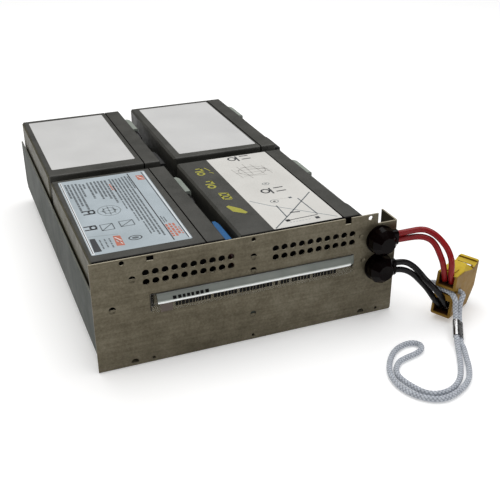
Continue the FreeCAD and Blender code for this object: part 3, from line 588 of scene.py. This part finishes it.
class Print:
    """A label as one thin slab, with its print as flat patches just above it."""

    def __init__(self, name, corners, base, radius=1.5):
        self.name, self.c = name, [np.array(q, float) for q in corners]
        self.v, self.f, self.m = [], [], []
        self.mats, self.keys = [base], {}
        self.top = Z_TOP + 0.16
        self.slab(radius)

    def key(self, mat):
        if mat.name not in self.keys:
            self.mats.append(mat)
            self.keys[mat.name] = len(self.mats) - 1
        return self.keys[mat.name]

    def slab(self, r):
        """Rounded-corner slab with a small rise at its edge."""
        c = self.c
        out = []
        for i in range(4):
            p, a, b = c[i], c[i - 1], c[(i + 1) % 4]
            da, db = (a - p) / np.linalg.norm(a - p), (b - p) / np.linalg.norm(b - p)
            for t in np.linspace(0, 1, 6):
                q = (1 - t) ** 2 * (p + da * r) + 2 * t * (1 - t) * p + t * t * (p + db * r)
                out.append(q)
        n = len(out)
        mid = sum(out) / n
        rings = []
        for inset, z in ((0, Z_TOP + 0.005), (0, Z_TOP + 0.12), (0.25, Z_TOP + 0.16)):
            ring = []
            for q in out:
                d = mid - q
                ring.append(len(self.v))
                q2 = q + d / np.linalg.norm(d) * inset
                self.v.append(P(q2[0], q2[1], z))
            rings.append(ring)
        for a, b in zip(rings, rings[1:]):
            for i in range(n):
                self.face([a[i], a[(i + 1) % n], b[(i + 1) % n], b[i]], 0)
        self.face(rings[-1], 0)
        self.face(list(reversed(rings[0])), 0)

    def face(self, idx, m):
        self.f.append(idx)
        self.m.append(m)

    def poly(self, pts, mat, lift=0.02):
        i0 = len(self.v)
        area = sum(pts[i][0] * pts[(i + 1) % len(pts)][1] - pts[(i + 1) % len(pts)][0] * pts[i][1]
                   for i in range(len(pts)))
        if area < 0:
            pts = pts[::-1]
        for x, y in pts:
            self.v.append(P(x, y, self.top + lift))
        self.face(list(range(i0, i0 + len(pts))), self.key(mat))

    def line(self, a, b, w, mat, lift=0.02):
        a, b = np.array(a, float), np.array(b, float)
        d = (b - a) / np.linalg.norm(b - a)
        n = np.array([-d[1], d[0]]) * w / 2
        self.poly([tuple(a - n), tuple(b - n), tuple(b + n), tuple(a + n)], mat, lift)

    def ring(self, c, rx, ry, w, mat, ang=0.0, n=28, lift=0.02):
        ca, sa = math.cos(ang), math.sin(ang)
        for i in range(n):
            q = []
            for k_, rr in ((0, 0), (1, 0), (1, 1), (0, 1)):
                t = 2 * math.pi * (i + k_) / n
                x, y = (rx - w * (1 - rr)) * math.cos(t), (ry - w * (1 - rr)) * math.sin(t)
                q.append((c[0] + x * ca - y * sa, c[1] + x * sa + y * ca))
            self.poly(q, mat, lift)

    def disc(self, c, rx, ry, mat, ang=0.0, n=24, lift=0.02):
        ca, sa = math.cos(ang), math.sin(ang)
        self.poly([(c[0] + rx * math.cos(2 * math.pi * i / n) * ca - ry * math.sin(2 * math.pi * i / n) * sa,
                    c[1] + rx * math.cos(2 * math.pi * i / n) * sa + ry * math.sin(2 * math.pi * i / n) * ca)
                   for i in range(n)], mat, lift)

    def row(self, x, y0, y1, w, mat, rng, dash=(1.6, 6.5), gap=(0.5, 1.1)):
        """A row of short strokes of uneven length along Y, like a plain printed line."""
        y = max(y0, y1)
        lo = min(y0, y1)
        while y > lo + 1.0:
            L = min(rng.uniform(*dash), y - lo)
            self.line((x, y), (x, y - L), w, mat)
            y -= L + rng.uniform(*gap)

    def build(self):
        ob = new_mesh(self.name + "_visual", self.v, self.f, self.mats, False, self.m)
        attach(ob, "root")
        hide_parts(self.name)
        return ob


rng = np.random.default_rng(11)

# front left: pale blue, many small rows, a few plain blocks
L = Print("label_front_left", [(6.2, 18.3), (77.3, 18.3), (78.9, 154.4), (7.6, 154.4)], M["label_blue"])
D, G, Pq, Rd = M["ink_dark"], M["ink_grey"], M["ink_pale"], M["ink_red"]
L.poly([(6.9, 19.2), (8.6, 19.2), (10.0, 153.4), (8.4, 153.4)], M["ink_white"], 0.01)
L.line((9.0, 152.8), (7.7, 20.4), 0.55, D)
L.line((64.2, 152.8), (64.6, 20.6), 0.9, D)
L.line((75.9, 152.6), (75.2, 20.6), 0.7, D)
L.line((77.6, 152.0), (76.2, 20.2), 0.7, M["ink_white"])
for x, y0, y1 in ((12.0, 147.5, 117.0), (14.4, 147.3, 89.0), (17.4, 147.0, 101.0), (20.3, 147.0, 93.0),
                  (23.0, 145.0, 118.0), (25.8, 144.0, 134.0),
                  (29.2, 146.0, 112.0), (32.2, 146.0, 121.0), (35.2, 146.3, 108.5), (38.0, 146.0, 112.0),
                  (40.8, 145.6, 106.7), (43.6, 145.2, 97.5),
                  (47.4, 146.2, 101.0), (50.0, 145.6, 78.0), (52.6, 145.5, 60.0), (55.2, 145.5, 38.0),
                  (57.9, 146.8, 33.0), (60.6, 148.0, 30.0)):
    L.row(x, y0, y1, 1.6 if x < 46 else 1.4, G, rng, (2.2, 8.0), (0.35, 0.8))
for x, y0, y1 in ((50.0, 76.0, 60.0), (52.6, 58.0, 36.0), (47.2, 99.0, 84.0), (62.9, 146.5, 120.0)):
    L.row(x, y0, y1, 1.0, G, rng, (2.2, 7.0), (0.35, 0.8))
L.row(45.6, 136.0, 122.0, 1.3, Rd, rng, (1.5, 3.5), (0.4, 0.8))
L.row(47.4, 131.0, 119.0, 1.1, Rd, rng, (1.5, 3.5), (0.4, 0.8))
# two plain bars with a short foot, an outlined oval with a finer one inside, small frames
for cx, cy in ((19.3, 87.5), (14.9, 60.6)):
    L.line((cx - 5.0, cy + 3.2), (cx + 4.0, cy + 3.2), 1.7, D)
    L.line((cx - 5.0, cy - 2.6), (cx + 4.0, cy - 2.6), 1.7, D)
    L.ring((cx + 1.6, cy + 0.3), 2.9, 3.6, 1.5, D)
L.ring((33.8, 86.0), 9.0, 9.6, 0.9, Pq)
L.ring((33.8, 86.0), 5.2, 5.6, 1.1, Pq)
L.line((27.0, 86.0), (40.6, 86.0), 0.9, Pq)
L.line((33.8, 78.0), (33.8, 94.0), 0.9, Pq)
L.row(30.2, 92.0, 80.0, 1.0, Pq, rng, (1.0, 2.5))
L.row(37.6, 92.0, 80.0, 1.0, Pq, rng, (1.0, 2.5))
for cx, cy, w_, h_ in ((26.0, 58.4, 9.0, 10.0), (40.6, 59.6, 10.0, 9.0)):
    for a, b in (((cx - w_ / 2, cy - h_ / 2), (cx + w_ / 2, cy - h_ / 2)),
                 ((cx + w_ / 2, cy - h_ / 2), (cx + w_ / 2, cy + h_ / 2)),
                 ((cx + w_ / 2, cy + h_ / 2), (cx - w_ / 2, cy + h_ / 2)),
                 ((cx - w_ / 2, cy + h_ / 2), (cx - w_ / 2, cy - h_ / 2)),
                 ((cx - w_ / 2, cy - h_ / 2), (cx + w_ / 2, cy + h_ / 2))):
        L.line(a, b, 0.85, G)
L.line((9.6, 47.2), (30.5, 44.2), 0.5, Pq)
L.ring((40.4, 34.2), 5.0, 3.8, 0.9, D)
L.disc((40.4, 34.2), 2.6, 1.7, G)
L.poly([(26.2, 42.6), (31.2, 41.6), (31.0, 25.6), (25.4, 26.4)], Rd, 0.02)
L.line((27.0, 40.0), (30.4, 33.5), 0.7, M["ink_white"], 0.035)
L.line((27.0, 34.5), (30.2, 28.5), 0.7, M["ink_white"], 0.035)
L.line((27.0, 37.0), (29.0, 30.0), 0.6, G, 0.036)
L.poly([(9.8, 43.4), (13.6, 43.0), (14.2, 22.2), (8.9, 22.2)], D, 0.02)
for x in (16.2, 19.6, 22.9):
    L.row(x, 40.0, 25.0, 1.0, G, rng, (2.0, 5.0))
L.poly([(69.4, 146.0), (75.0, 145.0), (75.0, 135.0), (69.4, 136.0)], Rd, 0.02)
L.line((70.4, 143.6), (74.2, 137.4), 0.8, M["ink_white"], 0.035)
for x, y0, y1 in ((66.4, 62.0, 50.0), (68.2, 60.0, 51.0)):
    L.row(x, y0, y1, 0.9, G, rng)
# a pale field behind two plain brick-red blocks at the foot of the label
for x, y0, y1 in ((66.2, 47.0, 26.0), (68.8, 47.5, 25.0), (71.4, 47.0, 27.5)):
    L.row(x, y0, y1, 1.7, Rd, rng, (2.0, 5.5), (0.7, 1.3))
for x, y0, y1 in ((73.6, 40.0, 26.0),):
    L.row(x, y0, y1, 1.0, Rd, rng, (1.5, 3.0), (0.8, 1.3))
L.build()

# rear labels: blank
for nm, cs in (("label_rear_left", [(8.1, 184.4), (79.5, 184.4), (79.5, 315.6), (8.1, 315.0)]),
               ("label_rear_right", [(118.3, 180.6), (190.1, 179.6), (190.1, 316.8), (118.3, 316.6)])):
    Print(nm, cs, M["label_blank"]).build()

# front right: off-white with a thin line diagram
L = Print("label_front_right", [(135.2, 9.6), (189.6, 9.6), (189.6, 157.2), (135.2, 157.2)],
          M["label_cream"], 1.0)
F = M["ink_faint"]
L.line((137.1, 62.1), (148.5, 48.6), 0.8, Pq)
L.line((148.5, 48.6), (186.9, 12.3), 0.8, Pq)
L.line((187.4, 61.1), (156.5, 29.5), 1.0, G)
L.line((156.5, 29.5), (136.9, 10.4), 1.0, G)
L.line((173.7, 53.5), (175.3, 21.8), 1.0, G)
L.line((152.9, 46.8), (152.1, 25.4), 1.0, G)
L.line((149.5, 19.5), (174.8, 20.8), 0.95, D)
L.poly([(148.6, 21.2), (152.0, 21.2), (152.0, 17.6), (148.6, 17.6)], D)
L.poly([(170.9, 18.0), (174.2, 18.0), (174.2, 14.4), (170.9, 14.4)], D)
L.line((157.4, 31.6), (164.9, 30.4), 1.5, D)
L.line((158.4, 57.4), (168.8, 56.8), 0.4, F)
L.poly([(167.6, 58.2), (170.2, 58.2), (170.2, 55.6), (167.6, 55.6)], G)
for i in range(7):
    L.line((150.2 + 2.5 * i, 15.8), (151.8 + 2.5 * i, 15.8), 0.5, Pq)
L.ring((162.0, 89.3), 3.1, 2.5, 0.5, G)
L.disc((162.0, 89.3), 1.2, 0.8, G)
L.ring((154.8, 54.8), 3.4, 3.0, 0.5, G)
L.disc((154.8, 54.8), 1.2, 1.0, D)
# two plain pairs of bars and rings of the same weight
for cx, cy in ((162.2, 75.4), (162.4, 151.0)):
    L.ring((cx - 6.2, cy), 3.9, 4.3, 1.5, D)
    L.line((cx - 1.6, cy - 6.4), (cx - 1.6, cy + 5.0), 1.5, D)
    L.line((cx + 1.8, cy + 3.6), (cx + 10.0, cy + 3.6), 1.5, D)
    L.line((cx + 1.8, cy - 3.4), (cx + 10.0, cy - 3.4), 1.5, D)
for a, b in (((147.0, 128.0), (150.0, 108.0)), ((153.5, 132.5), (157.5, 104.0)), ((160.0, 137.0), (160.6, 112.0)),
             ((166.0, 134.0), (170.0, 110.0)), ((174.0, 128.0), (176.5, 109.0)), ((147.5, 118.0), (178.0, 115.0)),
             ((149.0, 124.0), (175.0, 121.5)), ((152.0, 111.0), (171.0, 107.5)), ((156.0, 130.0), (177.0, 118.0))):
    L.line(a, b, 0.7, F)
L.ring((162.5, 120.0), 12.0, 9.5, 0.7, F)
L.build()

# plain yellow marks printed on the front right pack's case
v, f = [], []


def mark(poly, z=Z_TOP + 0.02):
    i0 = len(v)
    a = sum(poly[i][0] * poly[(i + 1) % len(poly)][1] - poly[(i + 1) % len(poly)][0] * poly[i][1]
            for i in range(len(poly)))
    poly = poly if a > 0 else poly[::-1]
    v.extend(P(x, y, z) for x, y in poly)
    f.append(list(range(i0, i0 + len(poly))))


def bar(a, b, w):
    a, b = np.array(a, float), np.array(b, float)
    d = (b - a) / np.linalg.norm(b - a)
    n = np.array([-d[1], d[0]]) * w / 2
    mark([tuple(a - n), tuple(b - n), tuple(b + n), tuple(a + n)])


def ring2(c, rx, ry, w, n=26):
    for i in range(n):
        t0, t1 = 2 * math.pi * i / n, 2 * math.pi * (i + 1) / n
        mark([(c[0] + (rx - w) * math.cos(t0), c[1] + (ry - w) * math.sin(t0)),
              (c[0] + rx * math.cos(t0), c[1] + ry * math.sin(t0)),
              (c[0] + rx * math.cos(t1), c[1] + ry * math.sin(t1)),
              (c[0] + (rx - w) * math.cos(t1), c[1] + (ry - w) * math.sin(t1))])


for cx, cy in ((121.6, 134.0), (120.8, 105.0)):
    ring2((cx - 0.6, cy - 4.8), 3.5, 3.7, 1.7)
    bar((cx - 4.0, cy + 0.7), (cx + 3.7, cy + 0.7), 1.9)
    bar((cx + 2.6, cy + 1.2), (cx + 2.6, cy + 7.6), 1.8)
    bar((cx - 1.9, cy + 6.4), (cx + 3.4, cy + 6.4), 1.8)
bar((127.4, 141.0), (130.2, 133.0), 1.0)
bar((128.6, 130.4), (131.2, 126.6), 0.9)
bar((120.4, 85.6), (127.6, 83.2), 2.0)
bar((120.2, 79.4), (127.2, 77.0), 1.9)
bar((120.8, 73.6), (126.6, 71.6), 1.9)
bar((121.0, 85.0), (120.8, 73.2), 1.8)
bar((126.8, 83.6), (126.4, 72.0), 1.8)
mark([(117.2, 59.6), (119.6, 61.0), (126.2, 52.4), (128.8, 44.4), (126.4, 42.8), (119.0, 49.4)])
ob = new_mesh("case_marks", v, f, [M["ink_yellow"]])
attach(ob, "root")

# ------------------------------------------------------------------ clear pull strip
# section from the top edge down: a hem against the panel in painted shadow, a flat upper face in painted
# reflection, the creased ridge with a painted highlight, and the clear lower face; (z, stand-off from the panel,
# finish of the step that follows)
SECTION = [(54.95, 0.10, 3), (54.65, 1.10, 0), (53.2, 2.05, 0), (51.6, 3.05, 0), (50.2, 3.80, 5),
           (49.55, 4.05, 2), (49.2, 4.22, 2), (48.8, 4.30, 2), (48.4, 4.32, 1), (47.6, 4.32, 1),
           (46.4, 4.30, 1), (44.9, 4.24, 1), (43.4, 4.15, 1), (42.3, 4.05, 1), (41.75, 3.95, 1)]


def strip_point(x, i, inner=False):
    """Point i of the section at x: the strip closes on the panel where it folds into both slots."""
    g = min(1.0, (x - 39.4) / 6.5, (195.4 - x) / 6.5)
    g = max(0.0, g)
    g = 1 - (1 - g) ** 2
    z, out, _ = SECTION[i]
    wob = 0.10 * math.sin(x * 0.11 + 1.0) + 0.06 * math.sin(x * 0.29)
    out = out * (0.24 + 0.76 * g) + (wob * g if 0.5 < out else 0.0)
    if inner:
        out = max(0.02, out - 0.22)
    return x, -out, z


def strip():
    xs = np.r_[np.linspace(39.4, 50, 20), np.linspace(52, 184, 67), np.linspace(186, 195.4, 18)]
    v, f, fm = [], [], []
    m_ = len(SECTION)
    for inner in (False, True):
        for x in xs:
            for i in range(m_):
                v.append(P(*strip_point(x, i, inner)))
    n = len(xs) * m_
    for i in range(len(xs) - 1):
        for j in range(m_ - 1):
            a = i * m_ + j
            b = a + m_
            f.append((a, a + 1, b + 1, b))
            # finishes: 0 upper face in painted reflection, 1 clear lower face, 2 painted highlight on the ridge, 3
            # painted shadow, 4 dark patch of painted reflection, 5 glow of the painted highlight
            kind = SECTION[j][2]
            if kind == 1 and 45.5 < xs[i] < 54.0:
                kind = 4
            if kind in (2, 5) and (xs[i] < 43.5 or 191.5 < xs[i]):
                kind = 0
            if xs[i] < 43.4 and kind == 0:
                kind = 1
            if xs[i] < 39.8:
                kind = 3
            fm.append(kind)
            f.append((n + a, n + b, n + b + 1, n + a + 1))
            fm.append(kind)
        a = i * m_
        f.append((a, a + m_, n + a + m_, n + a))
        fm.append(3)
        a = i * m_ + m_ - 1
        f.append((a, n + a, n + a + m_, a + m_))
        fm.append(1)
    for i in (0, len(xs) - 1):
        for j in range(m_ - 1):
            a = i * m_ + j
            f.append((a, n + a, n + a + 1, a + 1) if i == 0 else (a, a + 1, n + a + 1, n + a))
            fm.append(1)
    return new_mesh("handle_strip_visual", v, f, [M["film"], M["film_low"], M["film_crease_highlight"], M["film_hem_shadow"], M["film_fold"], M["film_soft"]],
                    True, fm)


ob = strip()
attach(ob, "root")
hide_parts("handle_strip")

# rows of plain short blocks on the strip, in place of its wording
v, f = [], []


def block(x0, x1, i0, i1):
    """A dark block from x0 to x1 between section stations i0 and i1, just proud of the strip."""
    n = max(1, int((x1 - x0) / 1.2))
    k0 = len(v)
    for q in range(n + 1):
        x = x0 + (x1 - x0) * q / n
        for t in range(3):
            s_ = i0 + (i1 - i0) * t / 2
            a, fr = int(math.floor(s_)), s_ - math.floor(s_)
            pa = np.array(strip_point(x, a))
            pb = np.array(strip_point(x, min(a + 1, len(SECTION) - 1)))
            pt = pa + (pb - pa) * fr
            v.append(P(pt[0], pt[1] - 0.16, pt[2] + 0.05))
    for q in range(n):
        for t in range(2):
            a = k0 + q * 3 + t
            f.append((a, a + 1, a + 4, a + 3))


rng2 = np.random.default_rng(5)
x = 54.6
while x < 79.0:
    w_ = rng2.uniform(1.9, 2.7)
    block(x, x + w_, 2.7, 4.3)
    x += w_ + rng2.uniform(0.9, 1.3)
x = 56.0
word = 0
while x < 177.0:
    w_ = rng2.uniform(1.5, 2.4)
    block(x, x + w_, 8.2, 11.0)
    word += 1
    gap = rng2.uniform(0.4, 0.6)
    if rng2.random() < 0.2:
        gap = 2.2
    x += w_ + gap
ob = new_mesh("strip_marks", v, f, [M["ink_black"]])
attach(ob, "root")

# ------------------------------------------------------------------ floor and light
def floor():
    k = Mat("floor")
    k.color(k.ramp(k.noise(3.0, 3.0, 0.5), [(0.3, (0.80, 0.80, 0.80)), (0.7, (0.83, 0.83, 0.83))]))
    k.set(rough=0.9)
    k.b.inputs["Emission Color"].default_value = (1.0, 1.0, 1.0, 1.0)
    k.b.inputs["Emission Strength"].default_value = 0.30
    s = 6.0
    ob = new_mesh("floor", [(-s, -s, -0.0002), (s, -s, -0.0002), (s, s, -0.0002), (-s, s, -0.0002)],
                  [(0, 1, 2, 3)], [k.m])


floor()
w = bpy.data.worlds.new("studio")
scene.world = w
w.use_nodes = True
bg = w.node_tree.nodes["Background"]
bg.inputs[0].default_value = (1.0, 1.0, 1.0, 1.0)
bg.inputs[1].default_value = 0.10


def area(name, loc, target, size, power, color=(1, 1, 1)):
    d = bpy.data.lights.new(name, "AREA")
    d.shape = "RECTANGLE"
    d.size, d.size_y = size
    d.energy = power
    d.color = color
    o = bpy.data.objects.new(name, d)
    scene.collection.objects.link(o)
    o.location = loc
    o.rotation_euler = (Vector(target) - Vector(loc)).to_track_quat("-Z", "Y").to_euler()
    return o


area("overhead", (0.20, 0.35, 1.9), (0.05, 0.0, 0), (2.4, 2.4), 48.0)
area("left_soft", (-1.5, 0.2, 0.9), (0.0, 0.0, 0.06), (1.0, 0.8), 5.0, (1.0, 0.94, 0.84))
area("front_soft", (0.3, -1.5, 1.0), (0.05, -0.15, 0.04), (1.2, 0.5), 3.0)
area("strip_light", (0.6, -1.5, 0.30), (0.05, -0.15, 0.05), (1.4, 0.12), 2.0)

scene.view_settings.view_transform = "Standard"
scene.view_settings.look = "None"
